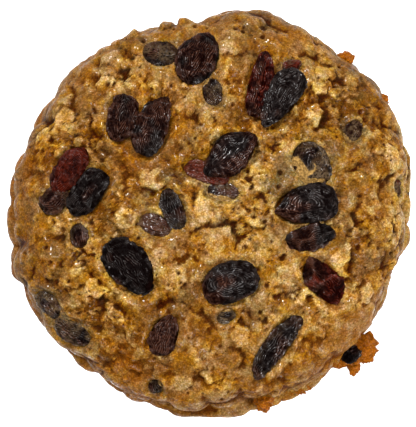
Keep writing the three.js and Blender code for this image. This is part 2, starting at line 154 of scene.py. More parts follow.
# What sets each raisin's skin apart. Along is the end of the raisin that lies further towards +X.
#   taper: narrower towards along. point: 0 blunt, 1 pointed. bend: sideways, at the middle.
#   swirl: 0 wrinkles run lengthwise, 1 they run round the top. depth: of the wrinkles, in millimetres.
#   flat: how far the top is flattened. fold: (place across from -1 to 1, depth) of a deep lengthwise furrow.
#   film: dough film over all of it, and edge: over its edge. warm: share of the skin's second, warmer tone.
#   blobs: smooth swellings instead of wrinkles. grain: how crumpled the wrinkles are. wet: -1 dull, 1 glossy.
#   square: outline with four corners, turned: where they stand, 0 at the rectangle's, in degrees.
#   tail: how far the end towards -X is drawn out thin. tip: warmer towards +X. crumple: height of broad
#   folds, in millimetres. light: how much paler the skin is all over, as painted sheen, and how much more
#   it glints. smear: (heading, share) of thick dough on one side.
PLAIN = dict(
    taper=0.0, point=0.3, bend=0.0, swirl=0.2, depth=0.3, flat=0.0, fold=(0.0, 0.0), film=0.0, edge=0.0,
    warm=0.25, blobs=0.0, grain=0.0, wet=0.0, square=0.0, tail=0.0, turned=0.0, tip=0.0, crumple=0.45,
    light=0.0, smear=(0, 0.0),
)
RAISIN_LOOKS = {
    1: dict(taper=0.1, point=0.8, bend=0.3, fold=(-0.5, 0.9), warm=0.35),
    2: dict(film=0.45, edge=0.3, depth=0.16, flat=0.4),
    3: dict(film=0.5, edge=0.6, wet=0.7, smear=(120, 0.25), light=0.06),
    4: dict(taper=-0.3, bend=0.4, swirl=0.7, depth=0.2, warm=0.0, tip=-0.3, grain=0.4, light=0.09),
    5: dict(taper=0.15, point=0.6, bend=-0.5, flat=0.3, fold=(-0.1, 0.7), warm=0.5, depth=0.18),
    6: dict(warm=0.8, film=0.4, edge=0.9, light=0.2),
    7: dict(taper=0.15, point=0.7, bend=0.4, swirl=0.0, warm=0.35, tip=0.3, light=0.07),
    8: dict(bend=-0.6, swirl=0.3, depth=0.36, warm=0.5, light=0.03),
    9: dict(point=0.4, bend=0.3, warm=0.6, blobs=0.5, depth=0.4, wet=-0.4, fold=(0.3, 0.6), tip=0.2),
    10: dict(point=0.4, bend=0.2, warm=0.0, depth=0.22, fold=(0.2, 0.4), grain=0.8, square=0.5),
    11: dict(point=0.6, warm=0.8, crumple=0.9, depth=0.36, wet=0.4, edge=0.2),
    12: dict(warm=0.3, wet=0.4, edge=0.3, crumple=0.9, light=0.06),
    13: dict(bend=-0.3, wet=1.0, warm=0.0, edge=0.25, depth=0.34, crumple=0.7, light=0.07),
    14: dict(warm=1.0, film=0.2, edge=0.5, wet=0.6, light=0.3, crumple=0.8),
    15: dict(bend=0.1, flat=0.7, swirl=0.3, depth=0.2, warm=0.3, square=1.0, turned=35, grain=0.6),
    16: dict(bend=0.4, warm=0.9, film=0.1, edge=0.3, depth=0.2, light=0.3),
    17: dict(film=0.6, edge=0.6, wet=1.0, depth=0.4, crumple=0.7, light=0.2, smear=(230, 0.45)),
    18: dict(
        taper=-0.25, point=0.2, bend=0.4, swirl=1.0, depth=0.17, warm=0.05, tail=0.6, tip=-0.3, grain=0.7,
        light=0.08,
    ),
    19: dict(bend=-0.3, swirl=0.0, warm=0.4, wet=0.2, crumple=1.0, light=0.03),
    20: dict(film=0.7, edge=0.5, swirl=0.9, wet=0.9, depth=0.26, crumple=0.7, smear=(215, 0.45)),
    21: dict(taper=0.22, point=0.4, bend=0.2, swirl=0.1, depth=0.38, warm=0.05, grain=0.9, light=-0.1),
    22: dict(point=0.2, bend=0.2, swirl=0.9, depth=0.17, warm=0.15, grain=0.7, tip=-0.2, light=0.07),
    23: dict(fold=(0.0, 0.6), depth=0.36, crumple=1.0, square=1.0, turned=10, grain=0.8, tip=0.4),
    24: dict(wet=0.8, edge=0.6, film=0.7, smear=(90, 0.3)),
    25: dict(taper=0.3, warm=0.9, depth=0.28, flat=0.4, light=0.15),
    26: dict(bend=0.9, warm=0.3, depth=0.28, edge=0.2, wet=0.8, grain=0.5, light=0.09),
    27: dict(film=0.75, edge=0.7, wet=0.3, light=0.1),
    28: dict(film=0.4, edge=0.8, wet=0.3),
    29: dict(film=0.3, edge=0.9),
    30: dict(warm=0.0),
    31: dict(film=0.7, edge=0.9, warm=0.9),
    32: dict(film=0.7, edge=0.9, warm=1.0),
}

# ---------------------------------------------------------------- repeatable noise


def seeded_random(seed):
    """Numbers from 0 to 1, the same for the same seed: x' = 1664525 x + 1013904223 mod 2^32."""
    state = seed
    while True:
        state = (state * 1664525 + 1013904223) % 2**32
        yield state / 2**32


def smoothstep(x, low, high):
    """0 below low, 1 above high, and 3 s^2 - 2 s^3 between them."""
    s = np.clip((x - low) / (high - low), 0, 1)
    return s * s * (3 - 2 * s)


def bell(x, middle, width):
    """A bell curve: e^-((x - middle) / width)^2."""
    return np.exp(-(((x - middle) / width) ** 2))


def unit(vector):
    """A vector brought to length 1."""
    return vector / np.linalg.norm(vector)


def scattered(rng, reach, count):
    """Places drawn evenly over a disc: reach times the root of one draw as radius, another as angle."""
    radius = reach * np.sqrt(rng.random(count))
    angle = 2 * np.pi * rng.random(count)
    return np.stack([radius * np.cos(angle), radius * np.sin(angle)], -1)


def cell_value(x, y, z, channel):
    """A fixed number from 0 to 1 for each cell: the fraction of 43758.5453 sin(a mix of its numbers)."""
    wave = np.sin(x * 127.1 + y * 311.7 + z * 74.7 + channel * 19.19) * 43758.5453
    return wave - np.floor(wave)


def neighbour_cells(reach):
    """The offsets of a cell's neighbours, each way up to reach."""
    steps = np.arange(-reach, reach + 1)
    return np.stack(np.meshgrid(steps, steps, steps, indexing="ij"), -1).reshape(-1, 3)


def cells_at(points, size, channel=0):
    """Space packed with cells round random seeds.

    Gives the distances to the nearest and the second nearest seed, counted in cells, the way from the nearest
    one in millimetres, and four fixed numbers of its cell.
    """
    q = points / size
    home = np.floor(q)
    first = np.full(len(q), 9.0)
    second = first.copy()
    cell = np.zeros_like(q)
    way = np.zeros_like(q)
    for offset in neighbour_cells(1):
        other = home + offset
        seed = other + np.stack([cell_value(*other.T, channel + i) for i in range(3)], -1)
        gap = ((q - seed) ** 2).sum(1)
        closer = gap < first
        second = np.where(closer, first, np.minimum(second, gap))
        first = np.where(closer, gap, first)
        cell[closer] = other[closer]
        way[closer] = (q - seed)[closer]
    values = np.stack([cell_value(*cell.T, channel + 5 + i) for i in range(4)], -1)
    return np.sqrt(first), np.sqrt(second), way * size, values


def clump_at(points, size):
    """Rounded clumps, packed: sqrt(1 - d^2), d the distance to the nearest seed, in cells."""
    return np.sqrt(1 - np.minimum(cells_at(points, size)[0], 1) ** 2)


def smooth_noise(points, size, channel=0):
    """Smooth random values from 0 to 1: those at a cell's corners, blended by smoothstep weights."""
    q = points / size
    cell = np.floor(q)
    part = q - cell
    part = part * part * (3 - 2 * part)
    total = np.zeros(len(q))
    for corner in neighbour_cells(1):
        if corner.min() < 0:
            continue
        weight = np.where(corner, part, 1 - part).prod(1)
        total += weight * cell_value(*(cell + corner).T, channel)
    return total


def patches_at(points, size, channel, low, high):
    """Soft patches: 0 where smooth noise is below low, 1 where it is above high."""
    return smoothstep(smooth_noise(points, size, channel), low, high)


def ridge_noise(points, size, channel=0):
    """Narrow ridges: 1 on the line where smooth noise passes its middle, falling to 0 on both sides."""
    return 1 - np.abs(2 * smooth_noise(points, size, channel) - 1)


def warped(points, size, reach, channel=0):
    """Points pushed to and fro by smooth noise of a size, up to half of reach each way."""
    push = [smooth_noise(points, size, channel + i) for i in range(3)]
    return points + reach * (np.stack(push, -1) - 0.5)


def spots_at(points, places, reach):
    """The strongest of some round spots: full within half of their radius, gone at reach times it."""
    total = np.zeros(len(points))
    for middle, radius, strength in places:
        distance = np.hypot(*(points[:, :2] - middle).T) / radius
        total = np.maximum(total, strength * smoothstep(-distance, -reach, -0.5))
    return total


def swell_at(points):
    """Broad swells from -1 to 1, as crossed waves of about 25 mm."""
    x, y = points[:, 0], points[:, 1]
    long = np.sin(x / 8.3 + 1.1) * np.cos(y / 7.4 - 0.6)
    short = np.sin((x + y) / 5.1 + 2) * np.cos((x - 1.4 * y) / 6.7)
    return 0.6 * long + 0.4 * short


# ---------------------------------------------------------------- the crust's smooth form


def swell_sum(swells, angle):
    """The sum of bell curves round the cookie: reach times e^-(off / spread)^2 for each."""
    total = np.zeros(np.shape(angle))
    for at, reach, spread in swells:
        off = (np.degrees(angle) - at + 180) % 360 - 180
        total += reach * bell(off, 0, spread)
    return total


def outline_radius(angle):
    """The foot's radius in a direction: the mean circle with its swells."""
    return COOKIE_RADIUS + swell_sum(OUTLINE_SWELLS, angle)


def wall_radius(angle):
    """The radius of the wall above the foot in a direction."""
    upright = (COOKIE_RADIUS - WALL_LEAN) * outline_radius(angle) / COOKIE_RADIUS
    return upright - swell_sum(FOOT_SPREADS, angle)


def section_line():
    """Radius and height of the mean section, from the top's middle over the shoulder to the base's edge.

    A superellipse quarter, then a quadratic curve round the foot.
    """
    angle = np.linspace(0, np.pi / 2, 49)
    out = np.sin(angle) ** (2 / SHOULDER_POWER)
    up = np.cos(angle) ** (2 / SHOULDER_POWER)
    up[-1] = 0
    crust = np.stack(
        [(COOKIE_RADIUS - WALL_LEAN) * out, FOOT_HEIGHT + (CROWN_HEIGHT - FOOT_HEIGHT) * up], -1
    )
    t = np.linspace(0, 1, 6)[:, None]
    start = np.array([COOKIE_RADIUS - 0.3 * WALL_LEAN, FOOT_HEIGHT - 0.6])
    knee = np.array([COOKIE_RADIUS + 0.8, 0.4])
    end = np.array([COOKIE_RADIUS - BASE_CHAMFER, 0])
    foot = (1 - t) ** 2 * start + 2 * t * (1 - t) * knee + t**2 * end
    return np.concatenate([crust, foot])


def crust_at(x, y):
    """The smooth crust above a place: point and outward direction, from the superellipse's formula."""
    angle = np.arctan2(y, x)
    wall = wall_radius(angle)
    share = np.minimum(np.hypot(x, y) / wall, 0.985)
    fall = 1 - share**SHOULDER_POWER
    rise = CROWN_HEIGHT - FOOT_HEIGHT
    slope = rise / wall * share ** (SHOULDER_POWER - 1) / fall ** (1 - 1 / SHOULDER_POWER)
    point = np.array([x, y, FOOT_HEIGHT + rise * fall ** (1 / SHOULDER_POWER)])
    out = np.array([slope * np.cos(angle), slope * np.sin(angle), 1.0])
    return point, unit(out)


def basis_on_crust(x, y, heading):
    """A point of the crust, and the unit vectors along a heading, across it and out of the crust."""
    point, out = crust_at(x, y)
    along = np.array([np.cos(np.radians(heading)), np.sin(np.radians(heading)), 0])
    along = unit(along - out * along.dot(out))
    return point, np.array([along, np.cross(out, along), out])


# ---------------------------------------------------------------- the raisins' places, from their solids


def node_points(node):
    """The corners of a CAD node, in millimetres."""
    mesh = frame["nodes"][node].data
    points = np.empty(3 * len(mesh.vertices))
    mesh.vertices.foreach_get("co", points)
    world = np.array(frame["nodes"][node].matrix_world)
    return (points.reshape(-1, 3) @ world[:3, :3].T + world[:3, 3]) / MM


class RaisinPlace:
    """Where a raisin lies: middle, unit vectors along, across and out, and half its size in each."""

    def __init__(self, node):
        self.node = node
        self.number = int(node[-2:])
        self.look = {**PLAIN, **RAISIN_LOOKS[self.number]}
        points = node_points(node)
        middle = (points.min(0) + points.max(0)) / 2
        _, out = crust_at(*middle[:2])
        flat = points - points.mean(0)
        flat -= np.outer(flat @ out, out)
        along = np.linalg.svd(flat, full_matrices=False)[2][0]
        along *= 1 if along[0] >= 0 else -1
        self.axes = np.array([along, np.cross(out, along), out])
        spans = points @ self.axes.T
        low, high = spans.min(0), spans.max(0)
        self.middle = (low + high) / 2 @ self.axes
        self.half = (high - low) / 2

    def distance(self, points):
        """How far points lie from the middle, in half lengths and half widths, along the crust."""
        local = (points - self.middle) @ self.axes.T / self.half
        return np.hypot(local[:, 0], local[:, 1])


RAISINS = [RaisinPlace(node) for node in sorted(frame["nodes"]) if node.startswith("raisin")]


# ---------------------------------------------------------------- meshes


def grid_faces(rows, columns, closed):
    """Quads between neighbouring rows and columns of a grid; closed joins the last column to the first."""
    row = np.arange(rows - 1)[:, None] * columns
    column = np.arange(columns if closed else columns - 1)[None]
    following = (column + 1) % columns
    corners = (row + column, row + following, row + columns + following, row + columns + column)
    return np.stack([np.broadcast_to(c, (rows - 1, column.shape[1])) for c in corners], -1).reshape(-1, 4)


def ball_faces(rows, columns):
    """Faces of a closed ball whose first and last points are its poles and whose rows are rings between."""
    quads = grid_faces(rows, columns, True) + 1
    ring = np.arange(columns)
    following = (ring + 1) % columns
    last = 1 + rows * columns
    start = last - columns
    near = np.stack([np.zeros_like(ring), following + 1, ring + 1], -1)
    far = np.stack([np.full_like(ring, last), start + ring, start + following], -1)
    return quads, np.concatenate([near, far])


def ball_lines(rows, columns, power=1, bunch=(0, 0)):
    """The points of a ball as pole, rings and pole.

    Gives the cosine of the angle from the first pole, its sine to a power, and the turn round the poles.
    The angle v is bunched to v + b sin 2v and the turn u to u + c cos u.
    """
    v = np.linspace(0, np.pi, rows + 2)[1:-1, None]
    v = v + bunch[0] * np.sin(2 * v)
    u = np.linspace(0, 2 * np.pi, columns, endpoint=False)[None]
    u = u + bunch[1] * np.cos(u)
    rings = np.broadcast_arrays(np.cos(v), np.sin(v) ** power, u)
    poles = ((1, -1), (0, 0), (0, 0))
    return [np.concatenate([[first], ring.ravel(), [last]]) for ring, (first, last) in zip(rings, poles)]


def inside_box(points):
    """Points eased away from the sides and top of the solids' box.

    A gap g under the easing e becomes e times exp(g / e - 1).
    """
    low, high = np.array(CAD_BOX) / MM
    eased = points.copy()
    for axis, side in ((0, -1), (0, 1), (1, -1), (1, 1), (2, 1)):
        gap = high[axis] - points[:, axis] if side > 0 else points[:, axis] - low[axis]
        kept = np.where(gap < BOX_EASING, BOX_EASING * np.exp(gap / BOX_EASING - 1), gap)
        eased[:, axis] -= side * (kept - gap)
    return eased


def make_piece(name, points, face_sets, material, masks):
    """A smooth mesh from points in millimetres and arrays of faces, with RGBA masks at its points."""
    mesh = bpy.data.meshes.new(name)
    faces = [face for faces in face_sets for face in faces.tolist()]
    mesh.from_pydata((inside_box(points) * MM).tolist(), [], faces)
    mesh.polygons.foreach_set("use_smooth", np.ones(len(mesh.polygons), bool))
    for key, values in masks.items():
        layer = mesh.attributes.new(key, "FLOAT_COLOR", "POINT")
        layer.data.foreach_set("color", values.astype(np.float32).ravel())
    mesh.materials.append(material)
    mesh.update()
    piece = bpy.data.objects.new(name, mesh)
    bpy.context.scene.collection.objects.link(piece)
    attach(piece, "root")
    return piece


# ---------------------------------------------------------------- material tools


class Nodes:
    """Adds nodes to a tree: add() returns the new node, with values or links put on its inputs."""

    def __init__(self, tree):
        self.tree = tree

    def put(self, node, inputs):
        """Puts a value or a link on each named input of a node."""
        for key, value in inputs.items():
            if isinstance(value, bpy.types.NodeSocket):
                self.tree.links.new(value, node.inputs[key])
            else:
                node.inputs[key].default_value = value

    def add(self, kind, inputs=None, **settings):
        node = self.tree.nodes.new(kind)
        for key, value in settings.items():
            setattr(node, key, value)
        self.put(node, inputs or {})
        return node

    def maths(self, operation, first, second=0.0):
        """One maths step on two values."""
        return self.add("ShaderNodeMath", {0: first, 1: second}, operation=operation).outputs[0]

    def total(self, *values):
        return reduce(partial(self.maths, "ADD"), values)

    def product(self, *values):
        return reduce(partial(self.maths, "MULTIPLY"), values)

    def most(self, *values):
        return reduce(partial(self.maths, "MAXIMUM"), values)

    def swing(self, value, middle, gain):
        """How far a value is from its middle, times a gain."""
        return self.product(self.maths("SUBTRACT", value, middle), gain)

    def attribute(self, name):
        """The three colour channels of a mesh's mask and its alpha."""
        mask = self.add("ShaderNodeAttribute", attribute_name=name).outputs
        return (*self.add("ShaderNodeSeparateColor", {0: mask["Color"]}).outputs, mask["Alpha"])

    def between(self, value, low, high):
        """0 below low, 1 above high, smooth between them."""
        inputs = {0: value, 1: low, 2: high}
        return self.add("ShaderNodeMapRange", inputs, interpolation_type="SMOOTHSTEP").outputs[0]

    def blend(self, mask, first, second):
        """The first colour where the mask is 0, the second where it is 1."""
        node = self.add("ShaderNodeMix", {0: mask, 6: first, 7: second}, data_type="RGBA")
        return node.outputs[2]

    def times(self, first, second):
        """One colour times another."""
        return self.add("ShaderNodeVectorMath", {0: first, 1: second}, operation="MULTIPLY").outputs[0]

    def specks(self, spacing, radius, vector):
        """1 inside round specks of a radius and 0 outside, scattered at about a spacing, in millimetres."""
        cells = self.add("ShaderNodeTexVoronoi", {"Vector": vector, "Scale": 1 / (spacing * MM)})
        return self.between(cells.outputs["Distance"], radius / spacing, 0.6 * radius / spacing)

    def noise(self, size, vector, detail=2.0, roughness=0.5):
        """Noise from 0 to 1 with features of a size in millimetres."""
        inputs = {"Vector": vector, "Scale": 1 / (size * MM), "Detail": detail, "Roughness": roughness}
        return self.add("ShaderNodeTexNoise", inputs).outputs[0]

    def grains(self, size, vector):
        """How near the middle of a grain is, 1 down to about 0.2, and a fixed value of each, 0 to 1."""
        noise = self.add("ShaderNodeTexNoise", {"Vector": vector, "Scale": 0.8 / (size * MM)})
        inputs = {0: noise.outputs["Color"], "Scale": 0.9 * size * MM}
        shift = self.add("ShaderNodeVectorMath", inputs, operation="SCALE")
        warped_place = self.add("ShaderNodeVectorMath", {0: vector, 1: shift.outputs[0]}, operation="ADD")
        inputs = {"Vector": warped_place.outputs[0], "Scale": 1 / (size * MM)}
        cells = self.add("ShaderNodeTexVoronoi", inputs)
        value = self.add("ShaderNodeSeparateColor", {0: cells.outputs["Color"]}).outputs[0]
        return self.maths("SUBTRACT", 1.0, cells.outputs["Distance"]), value


def grain_group():
    """Fine grain that all of the cookie's materials share: mottling, dark specks and a bump height."""
    name = "cookie_grain"
    if name in bpy.data.node_groups:
        return bpy.data.node_groups[name]
    group = bpy.data.node_groups.new(name, "ShaderNodeTree")
    for key, default in {"Grain Size": 0.5, "Speck Size": 0.7, "Speck Share": 0.3}.items():
        socket = group.interface.new_socket(key, in_out="INPUT", socket_type="NodeSocketFloat")
        socket.default_value = default
    for key in ("Mottle", "Specks", "Height"):
        group.interface.new_socket(key, in_out="OUTPUT", socket_type="NodeSocketFloat")
    nodes = Nodes(group)
    given = nodes.add("NodeGroupInput").outputs
    place = nodes.add("ShaderNodeTexCoord").outputs["Object"]
    grain_scale = nodes.maths("DIVIDE", 1 / MM, given["Grain Size"])
    speck_scale = nodes.maths("DIVIDE", 1 / MM, given["Speck Size"])
    grain = nodes.add("ShaderNodeTexNoise", {"Vector": place, "Scale": grain_scale, "Detail": 3.0})
    specks = nodes.add("ShaderNodeTexNoise", {"Vector": place, "Scale": speck_scale, "Detail": 1.0})
    limit = nodes.maths("SUBTRACT", 1.0, given["Speck Share"])
    out = {
        "Mottle": nodes.between(nodes.noise(1.9, place, 3.0), 0.35, 0.65),
        "Specks": nodes.between(nodes.maths("SUBTRACT", specks.outputs[0], limit), 0.0, 0.08),
        "Height": grain.outputs[0],
    }
    nodes.add("NodeGroupOutput", out)
    return group


def new_material(name):
    """A material, its node tools, its Principled shader, the grain's outputs and the place on the object."""
    material = bpy.data.materials.new(name)
    material.use_nodes = True
    nodes = Nodes(material.node_tree)
    shader = material.node_tree.nodes["Principled BSDF"]
    grain = nodes.add("ShaderNodeGroup", node_tree=grain_group()).outputs
    return material, nodes, shader, grain, nodes.add("ShaderNodeTexCoord").outputs["Object"]


def bump(nodes, height, depth):
    """A normal from a height from 0 to 1 that stands for a depth in millimetres."""
    return nodes.add("ShaderNodeBump", {"Height": height, "Distance": depth * MM}).outputs[0]


def opaque(colour, gains=(1, 1, 1)):
    """A colour with its alpha, each channel times its gain."""
    return (*(channel * gain for channel, gain in zip(colour, gains)), 1)


# ---------------------------------------------------------------- settings


def colour_setting(name, description, default):
    """A colour that a user can change, in linear light."""
    return bpy.props.FloatVectorProperty(
        name=name, description=description, default=default, size=3, min=0, max=1, subtype="COLOR"
    )


class DoughSettings(bpy.types.PropertyGroup):
    """Sizes and colours of the baked dough."""

    grid: bpy.props.IntProperty(
        name="Grid", description="Points across the crust's grid", default=308, min=60, max=310
    )
    hidden_flakes: bpy.props.IntProperty(
        name="Hidden Flakes", description="Oat flakes that show through the film of dough", default=560
    )
    pores: bpy.props.IntProperty(name="Pores", description="Open pores in the crust", default=420)
    brown: colour_setting("Brown", "The crust's low places", (0.092, 0.031, 0.0015))
    caramel: colour_setting("Caramel", "The crust's middle tone", (0.210, 0.094, 0.017))
    golden: colour_setting("Golden", "The tops of lumps and flakes", (0.430, 0.256, 0.080))
    oat: colour_setting("Oat", "Flakes that lie open", (0.475, 0.306, 0.125))
    shade_and_speck: colour_setting("Crevice", "Creases between lumps", (0.034, 0.006, 0.0004))
    # Painted shade for creases and pits, and the colour of the dough's dark specks.
    film: colour_setting("Film", "Brown film of batter", (0.180, 0.085, 0.022))
    toast: colour_setting("Toast", "Crisp orange rim and crumbs", (0.250, 0.070, 0.002))
    stain: colour_setting("Stain", "Olive-grey dough at sunken raisins", (0.115, 0.076, 0.026))


class RaisinSettings(bpy.types.PropertyGroup):
    """Sizes and colours of the raisins."""

    around: bpy.props.IntProperty(
        name="Around", description="Points round a large raisin", default=192, min=24, max=200
    )
    black: colour_setting("Black", "Skin of a black raisin", (0.0078, 0.0056, 0.0050))
    brown: colour_setting("Brown", "Skin of a brown raisin", (0.021, 0.0075, 0.0042))
    red: colour_setting("Red", "Skin of a red raisin", (0.030, 0.0035, 0.0012))
    film: colour_setting("Film", "Dough film on a sunken raisin", (0.110, 0.070, 0.036))


class StageSettings(bpy.types.PropertyGroup):
    """The camera's place and view."""

    distance: bpy.props.FloatProperty(
        name="Distance", description="Camera to cookie", default=0.38, unit="LENGTH"
    )
    tilt: bpy.props.FloatProperty(
        name="Tilt", description="Camera off the vertical", default=np.radians(4.2), subtype="ANGLE"
    )
    heading: bpy.props.FloatProperty(
        name="Heading", description="Side the camera leans to", default=np.radians(240), subtype="ANGLE"
    )
    view_width: bpy.props.FloatProperty(
        name="View Width", description="What the picture's width shows", default=0.0938, unit="LENGTH"
    )


# ---------------------------------------------------------------- dough


def flake_places():
    """Place, length, heading and tilt of the open flakes, then of others on a sunflower spiral.

    They are the solids' flakes, and those of the spiral that would touch a raisin are left out.
    """
    draw = seeded_random(FLAKE_SEED)
    golden_angle = np.pi * (3 - 5**0.5)
    shown = [(*flake, (0, 0)) for flake in OPEN_FLAKES]
    spread = []
    for i in range(FLAKE_COUNT):
        radius = FLAKE_FIELD_RADIUS * ((i + next(draw)) / FLAKE_COUNT) ** 0.5
        angle = i * golden_angle + 0.3 * next(draw)
        length = FLAKE_LENGTH[0] + (FLAKE_LENGTH[1] - FLAKE_LENGTH[0]) * next(draw)
        heading = 360 * next(draw)
        tilt = (0.5 * (next(draw) - 0.5), 0.5 * (next(draw) - 0.5))
        spread.append(((radius * np.cos(angle), radius * np.sin(angle)), length, heading, tilt))
    return shown + [flake for flake in spread if not touches_raisin(*flake[:2])]


def touches_raisin(at, length):
    """True where a flake of that length would touch a raisin or its pocket."""
    point = crust_at(*at)[0][None]
    return any(raisin.distance(point)[0] < 1 + (length / 2 + 2 * GAP) / raisin.half[1] for raisin in RAISINS)


def hidden_flake_places(count):
    """Place, length, heading and tilt of the smaller flakes all over the crust, mostly under its film."""
    rng = np.random.default_rng(7)
    places = scattered(rng, HIDDEN_REACH, count)
    length = rng.uniform(2.2, 4.8, count)
    heading = rng.uniform(0, 360, count)
    tilt = rng.normal(0, 0.24, (count, 2))
    return zip(places, length, heading, tilt)


def disc_grid(count):
    """Radius from 0 to 1 and angle of the points of a square grid bent into a disc, row by row.

    Concentric map: squares round the middle become circles, so that every cell keeps its share of the area.
    """
    line = np.linspace(-1, 1, count)
    b, a = (side.ravel() for side in np.meshgrid(line, line, indexing="ij"))
    wide = np.abs(a) > np.abs(b)
    radius = np.where(wide, a, b)
    with np.errstate(divide="ignore", invalid="ignore"):
        angle = np.where(wide, np.pi / 4 * (b / a), np.pi / 2 - np.pi / 4 * (a / b))
    angle = np.where(radius == 0, 0, angle) + np.where(radius < 0, np.pi, 0)
    return np.abs(radius), angle


def smooth_crust(count):
    """Points and outward directions of the smooth crust and foot, on the disc grid.

    The grid's area goes with the section's, counted at WALL_SHARE where the section is steep.
    """
    line = section_line()
    run = np.diff(line, axis=0)
    length = np.linalg.norm(run, axis=1)
    direction = run / length[:, None]
    share_here = np.where(direction[:, 0] > 0.5, 1, WALL_SHARE)
    area = np.cumsum((line[1:, 0] + line[:-1, 0]) / 2 * length * share_here)
    area = np.concatenate([[0], area])
    share, angle = disc_grid(count)
    share = share**2 * area[-1]
    radius = np.interp(share, area, line[:, 0])
    height = np.interp(share, area, line[:, 1])
    middle = (area[1:] + area[:-1]) / 2
    out_up = np.interp(share, middle, direction[:, 0])
    out_side = np.interp(share, middle, -direction[:, 1])
    set_back = swell_sum(FOOT_SPREADS, angle) * smoothstep(height, BASE_CHAMFER, SPREAD_TOP)
    radius = radius / COOKIE_RADIUS * (outline_radius(angle) - set_back)
    points = np.stack([radius * np.cos(angle), radius * np.sin(angle), height], -1)
    out = np.stack([out_side * np.cos(angle), out_side * np.sin(angle), out_up], -1)
    return points, out / np.linalg.norm(out, axis=1)[:, None]


def grid_blur(values, count, width):
    """Values on the square grid, each averaged with its neighbours by a bell curve of that width in cells."""
    reach = int(np.ceil(3 * width))
    kernel = np.exp(-0.5 * (np.arange(-reach, reach + 1) / width) ** 2)
    kernel /= kernel.sum()
    square = values.reshape(count, count)
    for _ in range(2):
        padded = np.pad(square, ((reach, reach), (0, 0)), mode="edge")
        square = sum(k * padded[i : i + count] for i, k in enumerate(kernel)).T
    return square.ravel()


